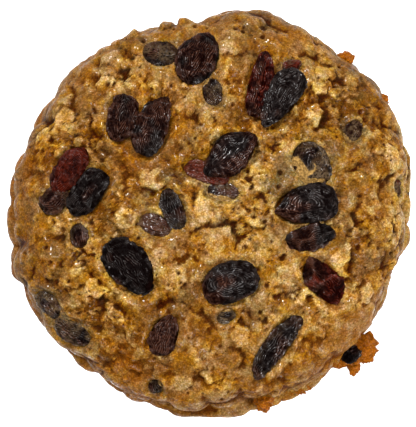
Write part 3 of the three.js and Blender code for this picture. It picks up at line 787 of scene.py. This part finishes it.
class Crust:
    """The crust's grid while its relief is built up: height along the outward direction, and masks.

    flake, tone: flakes that show and their colour. joint: grooves, also painted shade along them. stain:
    olive-grey dough. pore_shade: pits, painted dark as painted shade.
    open: away from raisins. edge: towards the rim. film: batter that smooths the crust.
    """

    def __init__(self, count):
        self.count = count
        self.points, self.out = smooth_crust(count)
        x, y, _ = self.points.T
        self.radius, self.angle = np.hypot(x, y), np.arctan2(y, x)
        self.height, self.flake, self.tone, self.joint, self.stain, self.pore_shade = np.zeros((6, len(x)))
        self.open = np.ones(len(x))
        self.edge = smoothstep(self.radius, 34, 42)
        self.film = self.film_mask()

    def film_mask(self):
        """Film in the named places, in patches between them, and on the rim, least towards -30 degrees and
        most towards 150 degrees, where its darker brown is painted shade and its lack painted light.
        """
        noise = smooth_noise(self.points, 7.5, 5)
        share = self.radius / outline_radius(self.angle) + 0.12 * (noise - 0.5)
        side = np.cos(self.angle + np.radians(30))
        patches = 0.5 * smoothstep(noise, 0.5, 0.75)
        # Less film towards -30 degrees and more towards 150 degrees: painted light and painted shade that
        # even out how the lamps light the rim.
        rim = (0.6 - 0.3 * side) * smoothstep(share, 0.87, 0.96)
        named = spots_at(warped(self.points, 4, 5, 50), FILM_PLACES, 1.2)
        return np.maximum(np.maximum(patches, rim), named)

    def blurred(self, width):
        """The height, averaged over a width in cells."""
        return grid_blur(self.height, self.count, width)

    def add_lumps(self):
        """The relief of the solids: swells, big and small clumps, calm dough and a lip at the raisins."""
        lip = 0
        for raisin in RAISINS:
            distance = raisin.distance(self.points)
            self.open *= smoothstep(distance, 0.8, 1.5)
            lip = np.maximum(lip, bell(distance, 1.3, 0.25))
        clumps = CLUMP_RELIEF * (clump_at(self.points, CLUMP_SIZE) - CLUMP_MEAN)
        crumbs = CRUMB_RELIEF * (clump_at(self.points, CRUMB_SIZE) - CLUMP_MEAN)
        self.height += SWELL_RELIEF * swell_at(self.points) + self.open * (clumps + crumbs) + lip * LIP_RELIEF

    def add_plates(self, size, step, lean, groove, channel):
        """Breaks the crust into oat-sized plates: each cell stands on its own level and leans its own way.

        A groove runs where the two nearest seeds are equally far. Gives a fixed number of each plate.
        """
        points = warped(self.points, 1.6 * size, 0.6 * size, channel + 20)
        near, far, way, values = cells_at(points, size, channel)
        level = step * (values[:, 0] - 0.5) + lean * (way * (2 * values[:, 1:] - 1)).sum(1)
        joint = smoothstep(near - far, -0.2, 0) * patches_at(self.points, 5, channel, 0.2, 0.6)
        calm = 1 - 0.6 * self.film
        self.height += calm * (level - groove * joint)
        self.joint = np.maximum(self.joint, joint * calm)
        return values[:, 3]

    def add_pillows(self, size, relief, channel):
        """Small rounded lumps with sharp creases between them, lower where the film lies.

        Gives how near each point is to the top of its lump, and a fixed number of each lump.
        """
        points = warped(self.points, 1.5 * size, 0.7 * size, channel + 20)
        near, _, _, values = cells_at(points, size, channel)
        pillow = np.sqrt(1 - np.minimum(near, 1) ** 2)
        uneven = 0.5 + smooth_noise(self.points, 4, channel)
        calm = (1 - 0.6 * self.film) * (1 - 0.7 * self.flake) * (1 - 0.5 * self.edge)
        self.height += calm * uneven * relief * (pillow + 0.5 * values[:, 1] - 1)
        return pillow, values[:, 3]

    def stamp_flake(self, place, length, heading, tilt, lift, tone):
        """Raises the crust to a flake's top where that is higher.

        The top is a tilted oval plate with a wavy outline and a rounded edge, met by each outward line.
        """
        point, axes = basis_on_crust(*place, heading)
        near = np.nonzero(((self.points - point) ** 2).sum(1) < (0.75 * length) ** 2)[0]
        if not len(near):
            return
        along, across, out = axes
        plate = unit(out + np.tan(tilt[0]) * across + np.tan(tilt[1]) * along)
        middle = point + out * (lift + self.height[near].mean())
        lean = self.out[near] @ plate
        top = ((middle - self.points[near]) @ plate) / np.maximum(lean, 0.3)
        hit = self.points[near] + self.out[near] * top[:, None] - middle
        u = hit @ along / (length / 2)
        v = hit @ across / (length * FLAKE_WIDTH / 2)
        turn = np.arctan2(v, u)
        wavy = 1 + 0.12 * np.cos(2 * turn + heading) + 0.09 * np.cos(5 * turn + 2 * heading)
        distance = np.hypot(u, v) / wavy
        top += 0.14 * np.cos(3 * u + heading) - 0.12 * bell(v, 0, 0.12)
        top -= FLAKE_THICKNESS * smoothstep(distance, 0.84, 1.12)
        rise = top - self.height[near]
        inside = smoothstep(-distance, -1.06, -0.92) * smoothstep(rise, -0.1, 0.12)
        self.height[near] += np.where(distance < 1.12, np.maximum(rise, 0), 0)
        self.flake[near] = np.maximum(self.flake[near] * (1 - inside), inside)
        self.tone[near] += (tone - self.tone[near]) * inside
        self.joint[near] *= 1 - inside

    def settle_film(self):
        """Smooths the relief a little everywhere, and more where the film lies."""
        self.height += (0.15 + 0.5 * self.film) * (self.blurred(1.5) - self.height)

    def press_raisins(self):
        """Lowers the dough under each raisin, and stains it round the sunken ones and in the named places.

        A raisin's underside lies half its depth times sqrt(1 - d^2) below its middle.
        """
        for raisin in RAISINS:
            local = (self.points - raisin.middle) @ raisin.axes.T / raisin.half
            distance = np.hypot(local[:, 0], local[:, 1])
            near = np.nonzero(distance < 2)[0]
            d = distance[near]
            belly = -raisin.half[2] * (np.sqrt(np.clip(1 - d**2, 0, 1)) + local[near, 2]) - POCKET_GAP
            edge = raisin.look["edge"]
            pressed = np.minimum(self.height[near], belly)
            share = smoothstep(-d, -1.0 + 0.12 * edge, -0.88 + 0.14 * edge)
            self.height[near] += share * (pressed - self.height[near])
            cover = max(edge, raisin.look["film"])
            patches = patches_at(self.points[near], 1.4, 21, 0.3, 0.6)
            ring = bell(d, 1.0, 0.3) * (0.1 + 0.9 * cover) * (0.25 + 0.75 * patches)
            self.stain[near] = np.maximum(self.stain[near], ring)
            self.film[near] = np.maximum(self.film[near], 0.4 * cover * smoothstep(-d, -1.7, -1.1))
        patches = patches_at(self.points, 1.1, 23, 0.3, 0.7)
        named = spots_at(warped(self.points, 3, 4, 70), STAIN_PLACES, 1.1)
        self.stain = np.maximum(self.stain, named * (0.35 + 0.65 * patches))

    def add_pores(self, count):
        """Small pits with a steep wall, thrown over the crust, and a mask of them that the material paints
        dark as painted shade.
        """
        rng = np.random.default_rng(11)
        places = scattered(rng, PORE_REACH, count)
        radii = 0.2 + 0.34 * rng.random(count) ** 4
        for place, size in zip(places, radii):
            point, _ = crust_at(*place)
            gap = ((self.points - point) ** 2).sum(1)
            near = np.nonzero(gap < (2.2 * size) ** 2)[0]
            pit = np.exp(-gap[near] / size**2)
            self.height[near] -= 1.6 * size * pit
            self.pore_shade[near] = np.maximum(self.pore_shade[near], pit)

    def relief_points(self):
        """The crust's points with its relief; the base's edge stays on the table."""
        fade = smoothstep(self.points[:, 2], 0, BASE_CHAMFER)
        points = self.points + self.out * (self.height * fade)[:, None]
        points[:, 2] = np.maximum(points[:, 2], 0)
        return points


def base_rings(points, count, steps):
    """Flat rings that close the base: the grid's border, shrunk in even steps to the middle, and faces."""
    index = np.arange(count * count).reshape(count, count)
    border = np.concatenate([index[0, :-1], index[:-1, -1], index[-1, :0:-1], index[:0:-1, 0]])
    scale = np.linspace(1, 0, steps + 1)[1:-1, None, None]
    inner = points[border] * scale
    inner[..., 2] = 0
    start = len(points)
    number = np.concatenate([[border], start + np.arange(inner[..., 0].size).reshape(steps - 1, -1)])
    following = np.roll(number, -1, axis=1)
    quads = np.stack([number[:-1], number[1:], following[1:], following[:-1]], -1).reshape(-1, 4)
    middle = start + inner[..., 0].size
    fan = np.stack([number[-1], np.full(len(border), middle), following[-1]], -1)
    return np.concatenate([inner.reshape(-1, 3), [[0, 0, 0]]]), quads, fan


def crust_material(settings):
    """Baked dough: brown to golden by a tone, under film, stain, painted shade in creases and pores, and
    toast, with painted highlights and shade on its small grains.
    """
    material, nodes, shader, grain, place = new_material("crust_skin")
    tone, crease_shade, wet, rough_crumb = nodes.attribute("dough_tone")
    film, toast, stain, pore_shade = nodes.attribute("dough_finish")
    fine = nodes.noise(0.4, place, 3.0, 0.8)
    near_grain, grain_value = nodes.grains(0.9, place)
    rounded = nodes.swing(near_grain, 0.58, 0.36)
    mosaic = nodes.swing(grain_value, 0.5, 0.2)
    grainy = nodes.product(nodes.total(nodes.maths("SUBTRACT", fine, 0.5), rounded, mosaic), rough_crumb)
    tone = nodes.total(tone, nodes.total(grainy, nodes.swing(grain["Mottle"], 0.5, 0.22)))

    base = opaque(settings.brown)
    steps = ((0, 0.5, settings.caramel), (0.4, 1.2, settings.golden), (0.9, 1.4, settings.oat))
    for low, high, colour in steps:
        base = nodes.blend(nodes.between(tone, low, high), base, opaque(colour))
    base = nodes.blend(nodes.product(film, 0.7), base, opaque(settings.film))
    base = nodes.blend(nodes.product(stain, nodes.between(fine, 0.3, 0.6)), base, opaque(settings.stain))
    hue = nodes.between(nodes.noise(4.5, place, 5.0, 0.8), 0.36, 0.64)
    # Painted shade in creases and pits, and the dark specks' own colour, a little redder or bluer by the hue
    # noise.
    shade_and_speck = nodes.blend(hue, opaque(settings.shade_and_speck), opaque(settings.shade_and_speck, (0.8, 1.5, 4.0)))
    base = nodes.blend(crease_shade, base, shade_and_speck)
    # Pits painted dark as painted shade, together with the dough's own dark specks.
    dark = nodes.most(pore_shade, nodes.product(grain["Specks"], 0.5), nodes.specks(2.0, 0.2, place))
    base = nodes.blend(dark, base, shade_and_speck)

    tint = nodes.blend(hue, (1.14, 0.96, 0.12, 1), (0.88, 1.0, 1.5, 1))
    tint = nodes.blend(nodes.product(nodes.between(tone, 0.5, 1.1), 0.35), tint, (1, 1, 1, 1))
    redness = nodes.between(nodes.noise(2.6, place, 4.0, 0.7), 0.36, 0.64)
    tint = nodes.times(tint, nodes.blend(redness, (0.965, 1.06, 1.0, 1), (1.03, 0.955, 1.0, 1)))
    base = nodes.blend(toast, nodes.times(base, tint), opaque(settings.toast))
    # Small grains, lighter and whiter towards their middles and darker at their edges: painted highlights and
    # painted shade on the crumb, with some random tone from grain to grain.
    speck, speck_value = nodes.grains(0.4, place)
    grain_highlight_shade = nodes.total(nodes.product(speck, 0.7), nodes.product(speck_value, 0.3))
    grain_highlight_shade = nodes.blend(nodes.between(grain_highlight_shade, 0.3, 0.78), (0.74, 0.69, 0.5, 1), (1.32, 1.36, 1.55, 1))
    sparkle = nodes.between(nodes.noise(0.35, place, 1.0), 0.46, 0.6)
    height = nodes.total(nodes.product(speck, 0.3), nodes.product(near_grain, 1.2), nodes.product(fine, 0.7))
    finish = {
        "Base Color": nodes.times(base, grain_highlight_shade),
        "Roughness": nodes.total(nodes.product(fine, 0.3), 0.3),
        "Coat Weight": nodes.product(wet, sparkle),
        "Coat Roughness": 0.13,
        "Normal": bump(nodes, height, 0.25),
        "Specular IOR Level": 0.02,
        "Subsurface Weight": 0.15,
        "Subsurface Radius": (1.0, 0.5, 0.2),
        "Subsurface Scale": 0.8 * MM,
    }
    nodes.put(shader, finish)
    return material


class COOKIE_OT_crust(bpy.types.Operator):
    """Makes the dough's crust, foot and base as one closed skin over a square grid bent into a disc"""

    bl_idname = "cookie.crust"
    bl_label = "Add Crust"

    def execute(self, context):
        settings = context.scene.cookie_dough
        crust = Crust(settings.grid)
        crust.add_lumps()
        rng = np.random.default_rng(3)
        for flake in hidden_flake_places(settings.hidden_flakes):
            crust.stamp_flake(*flake, lift=rng.uniform(-0.35, 0.1), tone=rng.uniform(0.1, 0.8))
        crust.flake *= HIDDEN_SHARE
        broad = crust.add_plates(size=3.1, step=0.3, lean=0.09, groove=0.1, channel=40)
        pillow, small = crust.add_pillows(size=1.9, relief=0.42, channel=60)
        for number, flake in enumerate(flake_places()):
            if number < len(OPEN_FLAKES):
                crust.stamp_flake(*flake, lift=FLAKE_LIFT, tone=1.3)
            else:
                crust.stamp_flake(*flake, lift=SCATTERED_LIFT, tone=rng.uniform(0.3, 1.0))
        crust.settle_film()
        _, tiny = crust.add_pillows(size=1.0, relief=0.38, channel=80)
        crust.add_pores(settings.pores)
        crust.press_raisins()

        x, y, height = crust.points.T
        near = crust.height - crust.blurred(2)
        far = crust.height - crust.blurred(6)
        bits = smoothstep(small, 0.4, 0.54) * smoothstep(pillow, 0.52, 0.76)
        wide = smooth_noise(crust.points, 11, 31)
        tone = 0.2 + 0.2 * (broad - 0.5) + 0.46 * bits + 0.25 * (tiny - 0.5) + 0.9 * (wide - 0.5)
        # Lighter on raised places and darker in low ones: painted light and painted shade on the relief.
        tone += crust.flake * (0.7 * crust.tone - 0.2) + 0.5 * near + 0.25 * far
        # Paler towards the right of the rim and darker towards its upper left, plus a broad slope paler
        # towards +X and -Y: painted light and painted shade that even out how the lamps light the crust.
        tone += 0.25 * crust.edge * np.cos(crust.angle + np.radians(10)) + 0.0025 * x - 0.003 * y
        # Painted shade where the crust lies lower than around it, and along the grooves between plates.
        crease_shade = smoothstep(-(1.3 * near + 0.4 * far), 0.12, 0.4)
        crease_shade = np.maximum(crease_shade, 0.8 * crust.joint * smoothstep(-near, 0.0, 0.14))
        damp = patches_at(crust.points, 1.3, 14, 0.4, 0.75)
        wet = (0.3 + 0.7 * damp) * smoothstep(near, -0.02, 0.1) + 0.6 * crust.stain * damp
        toast = (0.05 + 0.2 * smoothstep(-x, 10, 40)) * smoothstep(-height, -4.5, -1.5)
        toast += 0.15 * patches_at(crust.points, 9, 6, 0.55, 0.8) + 0.16 * smoothstep(-y, 22, 38)
        corner = np.hypot(x - TOAST_PLACE[0], y - TOAST_PLACE[1])
        toast += 0.3 * bell(corner, 0, TOAST_REACH)
        smooth = np.maximum(0.6 * crust.flake, 0.4 * crust.film)
        looks = np.stack([tone, crease_shade, np.clip(wet, 0, 1), 1 - smooth], -1)
        finish = np.stack([crust.film, toast, crust.stain, crust.pore_shade], -1)

        points = crust.relief_points()
        inner, ring_quads, fan = base_rings(points, settings.grid, BASE_STEPS)
        base_looks = np.tile([0.35, 0.0, 0.1, 1.0], (len(inner), 1))
        base_finish = np.tile([0.1, 0.55, 0.0, 0.0], (len(inner), 1))
        masks = {
            "dough_tone": np.concatenate([looks, base_looks]),
            "dough_finish": np.concatenate([finish, base_finish]),
        }
        faces = [grid_faces(settings.grid, settings.grid, False), ring_quads, fan]
        points = np.concatenate([points, inner])
        piece = make_piece("crust", points, faces, crust_material(settings), masks)
        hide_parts("dough")
        return {"FINISHED"}


# ---------------------------------------------------------------- raisins


def raisin_surface(raisin, rows, columns):
    """Points of a wrinkled raisin, pole, rings and pole, and how high each stands on its wrinkles.

    An ellipsoid, tapered, pointed and bent, pushed out and in by a sharpened wave. The wave's phase is the
    angle from the top, or from the top's lengthwise line, warped by noise. Its points lie closest together
    on the top.
    """
    look = raisin.look
    seed = 17.3 * raisin.number
    _, width, depth = raisin.half
    t, ring, turn = ball_lines(rows, columns, power=0.7 + 0.5 * look["point"], bunch=(0.2, 0.45))
    side, up = ring * np.cos(turn), ring * np.sin(turn)
    ball = np.stack([t, side, up], -1)
    radius = (width + depth) / 2

    skin = ball * raisin.half + seed
    from_top = np.arccos(np.clip(up, -1, 1))
    from_line = np.abs((turn - np.pi / 2 + np.pi) % (2 * np.pi) - np.pi) * np.minimum(1, ring + 0.3)
    angle = look["swirl"] * from_top + (1 - look["swirl"]) * from_line
    phase = angle * radius / WRINKLE_SPACING + 3.0 * smooth_noise(skin, 2.6, 1)
    phase += (0.8 + 1.2 * look["grain"]) * smooth_noise(skin, 1.1, 2)
    wave = 1 - np.abs(2 * (phase % 1) - 1)
    broken = 0.15 + 0.85 * patches_at(skin, 0.9, 3, 0.3, 0.65)
    cross = ridge_noise(skin, 0.7, 4) ** 2
    ridge = (1 - look["blobs"]) * (0.85 * wave**1.3 * broken + 0.4 * cross)
    blobs = 1 - cells_at(warped(skin, 2, 1.2, 7), 2.1, 9)[0] ** 2
    ridge += look["blobs"] * blobs
    folds = ridge_noise(skin, 3.0, 5)
    small = min(1, width / 3)
    relief = look["depth"] * (1.6 * ridge - 0.75) + look["crumple"] * (folds - 0.7) * small
    # The ridge mask, raised on the broad folds' crests and by light, is what the skin paints paler as painted
    # light, and darker in the wrinkles as painted shade.
    ridge = ridge * (1 - 0.5 * min(1, look["crumple"])) + 0.9 * max(0, look["crumple"] - 0.45) * folds**4
    ridge = ridge + look["light"]
    place, cut = look["fold"]
    relief -= cut * bell(side, place, 0.16) * (up > 0) * (1 - t**2)

    local = ball * (raisin.half - SKIN_INSET)
    corner = np.arctan2(side, t) - np.radians(look["turned"])
    wide = (np.abs(np.cos(corner)) ** 4 + np.abs(np.sin(corner)) ** 4) ** -0.25
    local[:, :2] *= (1 + look["square"] * (wide / 1.1 - 1))[:, None]
    local[:, 1:] *= (1 - look["tail"] * smoothstep(-t, 0.35, 1.0))[:, None]
    local[:, 1] *= 1 - look["taper"] * t
    local[:, 1] += 0.12 * look["bend"] * width * (1 - 3 * t**2)
    rise = 1.6 / (1 - 0.35 * look["flat"])
    flat_top = np.tanh(up * rise) / np.tanh(rise) * depth
    round_top = up * depth
    top = look["flat"] * flat_top + (1 - look["flat"]) * round_top
    local[:, 2] = np.where(up > 0, top, local[:, 2] * 0.85)
    push = ball / raisin.half
    push /= np.linalg.norm(push, axis=1)[:, None]
    local += push * relief[:, None]
    return raisin.middle + local @ raisin.axes, ridge, local


def raisin_material(name, colour, second, film):
    """Raisin skin: two tones in patches, under a film or thick dough where the mask asks."""
    material, nodes, shader, grain, place = new_material(name)
    ridge, covered, warm, wet = nodes.attribute("raisin_looks")
    height = grain["Height"]
    lit = nodes.between(nodes.total(ridge, nodes.product(height, 0.5)), 0.4, 1.15)
    # Nearly black in the wrinkles and paler on their ridges and the grain's high places: painted shade and
    # painted light over the skin's tones.
    wrinkle_shade, pale = (0.2, 0.06, 0.05), (2.9, 2.9, 2.9)
    tones = [nodes.blend(lit, opaque(tone, wrinkle_shade), opaque(tone, pale)) for tone in (colour, second)]
    thin = nodes.between(grain["Mottle"], 0.2, 0.8)
    thin = nodes.blend(thin, opaque(film, (0.42, 0.34, 0.3)), opaque(film))
    dough = nodes.between(height, 0.25, 0.75)
    dough = nodes.blend(dough, opaque(film, (1.2, 1.0, 0.5)), opaque(film, (3.6, 3.3, 1.9)))
    thick = nodes.between(covered, 0.7, 0.98)
    cover = nodes.most(nodes.product(covered, nodes.between(height, 0.3, 0.55)), thick)
    sparkle = nodes.between(nodes.noise(0.35, place, 1.0), 0.4, 0.58)
    finish = {
        "Base Color": nodes.blend(cover, nodes.blend(warm, *tones), nodes.blend(thick, thin, dough)),
        "Roughness": nodes.total(nodes.product(height, 0.3), 0.25),
        "Coat Weight": nodes.product(wet, 2.6, nodes.product(lit, lit), sparkle),
        "Coat Roughness": 0.14,
        "Normal": bump(nodes, height, 0.2),
        "Specular IOR Level": 0.02,
    }
    nodes.put(shader, finish)
    return material


class COOKIE_OT_raisins(bpy.types.Operator):
    """Makes each raisin as a wrinkled, closed skin in the place of its solid"""

    bl_idname = "cookie.raisins"
    bl_label = "Add Raisins"

    def execute(self, context):
        settings = context.scene.cookie_raisins
        slots = {part["node"]: part["material_slot"] for part in frame["record"]["subparts"]}
        dark = (settings.black, settings.brown)
        tones = {"black": dark, "brown": dark, "red": (settings.brown, settings.red), "filmed": dark}
        materials = {
            kind + "_raisin": raisin_material(kind + "_skin", *pair, settings.film)
            for kind, pair in tones.items()
        }
        for raisin in RAISINS:
            look = raisin.look
            columns = settings.around if raisin.half[0] > LARGE_RAISIN else settings.around // 2
            rows = columns * 5 // 8
            points, ridge, local = raisin_surface(raisin, rows, columns)
            patches = smooth_noise(local + 5.1 * raisin.number, 2.4, 6)
            warm = smoothstep(patches + look["warm"] + look["tip"] * local[:, 0] / raisin.half[0], 0.6, 1.0)
            uneven = smooth_noise(local + 3.3 * raisin.number, 1.3, 7)
            edge = smoothstep(raisin.distance(points) + 0.5 * (uneven - 0.5), 0.55, 0.95)
            cover = np.maximum(look["edge"] * edge, look["film"] * smoothstep(uneven, 0.25, 0.6))
            heading, share = look["smear"]
            if share:
                heading = np.radians(heading)
                across = points[:, 0] * np.cos(heading) + points[:, 1] * np.sin(heading)
                spread = uneven + 0.3 * (across - across.mean()) / across.std()
                cover = np.maximum(cover, smoothstep(spread, 1 - share, 1.3 - share))
            wet = 0.5 + 0.5 * look["wet"] * (0.5 + 0.5 * smoothstep(patches, 0.3, 0.6))
            masks = {"raisin_looks": np.clip(np.stack([ridge, cover, warm, wet], -1), 0, 1)}
            slot = slots[raisin.node]
            faces = ball_faces(rows, columns)
            piece = make_piece(raisin.node + "_skin", points, faces, materials[slot], masks)
            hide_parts(raisin.node)
        return {"FINISHED"}


# ---------------------------------------------------------------- rim crumbs


class COOKIE_OT_crumbs(bpy.types.Operator):
    """Makes the crisp, ragged crumbs at the foot as one piece of displaced balls"""

    bl_idname = "cookie.crumbs"
    bl_label = "Add Rim Crumbs"

    def execute(self, context):
        up, ring, turn = ball_lines(*CRUMB_GRID)
        ball = np.stack([ring * np.cos(turn), ring * np.sin(turn), up], -1)
        all_points, all_faces = [], []
        for number, (at, height, radii) in enumerate(RIM_CRUMBS):
            lumps = clump_at(ball * radii + 9.1 * number, 1.7)
            grain = smooth_noise(ball * radii + 4.7 * number, 0.7, 2)
            points = ball * radii * (0.42 + 0.55 * lumps + 0.5 * (grain - 0.5))[:, None]
            points += [*at, max(height, radii[2])]
            points[:, 2] = np.maximum(points[:, 2], 0.02)
            all_points.append(points)
            all_faces += [faces + number * len(ball) for faces in ball_faces(*CRUMB_GRID)]
        points = np.concatenate(all_points)
        grain = smooth_noise(points, 0.9, 3)
        one = np.ones(len(points))
        # The second channel is painted shade where the crumbs' grain is low.
        tone = np.stack([0.3 + 0.5 * grain, 0.6 * smoothstep(-grain, -0.35, -0.1), 0.2 * one, one], -1)
        masks = {"dough_tone": tone, "dough_finish": np.outer(one, (0, 0.95, 0, 0))}
        make_piece("rim_crumbs", points, all_faces, bpy.data.materials["crust_skin"], masks)
        return {"FINISHED"}


# ---------------------------------------------------------------- stage


# Name, place and size in metres, and power of each square lamp.
LAMPS = (
    ("window", (-0.16, 0.3, 0.5), 0.14, 4.3),
    ("overhead", (0.1, -0.08, 0.7), 0.4, 3.5),
    ("right_fill", (0.4, -0.25, 0.35), 0.4, 2.1),
    ("left_fill", (-0.45, -0.2, 0.35), 0.4, 0.4),
)
LAMP_TARGET = (0, 0, 0.008)
CAMERA_TARGET = (-0.0003, -0.0006, 0.001)
SENSOR_WIDTH = 36
FLOOR_REACH = 1.5  # metres from its middle to its sides
FLOOR_DROP = 0.0001


def look_at(thing, place, target):
    """Puts a lamp or camera at a place and turns its -Z to the target, its +Y up the picture."""
    back = unit(np.array(place, float) - target)
    side = unit(np.cross((0, 1, 0), back))
    matrix = np.identity(4)
    matrix[:3, 0] = side
    matrix[:3, 1] = np.cross(back, side)
    matrix[:3, 2] = back
    matrix[:3, 3] = place
    thing.matrix_world = matrix.T


class COOKIE_OT_stage(bpy.types.Operator):
    """Makes the pale floor, the soft light and the camera that looks down on the cookie"""

    bl_idname = "cookie.stage"
    bl_label = "Add Stage"

    def execute(self, context):
        scene = context.scene
        settings = scene.cookie_stage
        mesh = bpy.data.meshes.new("floor")
        corners = [(x * FLOOR_REACH, y * FLOOR_REACH, 0) for x, y in ((-1, -1), (1, -1), (1, 1), (-1, 1))]
        mesh.from_pydata(corners, [], [(0, 1, 2, 3)])
        floor = bpy.data.objects.new("floor", mesh)
        floor.location.z = -FLOOR_DROP
        scene.collection.objects.link(floor)
        paint = bpy.data.materials.new("pale_floor")
        paint.use_nodes = True
        finish = {
            "Base Color": (0.5, 0.5, 0.5, 1),
            "Emission Color": (1, 1, 1, 1),
            "Emission Strength": 1.1,
            "Roughness": 0.9,
            "Specular IOR Level": 0.1,
        }
        Nodes(paint.node_tree).put(paint.node_tree.nodes["Principled BSDF"], finish)
        mesh.materials.append(paint)

        world = bpy.data.worlds.new("soft_room")
        world.use_nodes = True
        background = world.node_tree.nodes["Background"]
        Nodes(world.node_tree).put(background, {"Color": (1, 1, 1, 1), "Strength": 0.12})
        scene.world = world
        scene.view_settings.view_transform = "Standard"
        for name, place, size, power in LAMPS:
            light = bpy.data.lights.new(name, "AREA")
            light.size = size
            light.energy = power
            lamp = bpy.data.objects.new(name, light)
            scene.collection.objects.link(lamp)
            look_at(lamp, place, LAMP_TARGET)

        camera = bpy.data.objects.new("camera", bpy.data.cameras.new("camera"))
        scene.collection.objects.link(camera)
        camera.data.sensor_fit = "HORIZONTAL"
        camera.data.sensor_width = SENSOR_WIDTH
        camera.data.lens = SENSOR_WIDTH * settings.distance / settings.view_width
        camera.data.clip_start = 0.01
        lean = np.sin(settings.tilt) * np.array([np.cos(settings.heading), np.sin(settings.heading)])
        offset = np.array([*lean, np.cos(settings.tilt)]) * settings.distance
        look_at(camera, CAMERA_TARGET + offset, CAMERA_TARGET)
        scene.camera = camera
        return {"FINISHED"}


# ---------------------------------------------------------------- add-on


class COOKIE_PT_panel(bpy.types.Panel):
    """Buttons for the cookie's pieces"""

    bl_label = "Oatmeal Raisin Cookie"
    bl_idname = "COOKIE_PT_panel"
    bl_space_type = "VIEW_3D"
    bl_region_type = "UI"
    bl_category = "Cookie"

    def draw(self, context):
        for operator in OPERATORS:
            self.layout.operator(operator.bl_idname)


OPERATORS = (COOKIE_OT_stage, COOKIE_OT_crust, COOKIE_OT_crumbs, COOKIE_OT_raisins)
SETTINGS = {
    "cookie_dough": DoughSettings,
    "cookie_raisins": RaisinSettings,
    "cookie_stage": StageSettings,
}
CLASSES = (*SETTINGS.values(), *OPERATORS, COOKIE_PT_panel)


def register():
    """Registers the classes and hangs the settings on the scene."""
    for item in CLASSES:
        bpy.utils.register_class(item)
    for name, group in SETTINGS.items():
        setattr(bpy.types.Scene, name, bpy.props.PointerProperty(type=group))


def unregister():
    """Takes the settings and the classes away again."""
    for name in SETTINGS:
        delattr(bpy.types.Scene, name)
    for item in reversed(CLASSES):
        bpy.utils.unregister_class(item)


def main():
    register()
    bpy.ops.cookie.stage()
    bpy.ops.cookie.crust()
    bpy.ops.cookie.crumbs()
    bpy.ops.cookie.raisins()


if __name__ == "__main__":
    main()
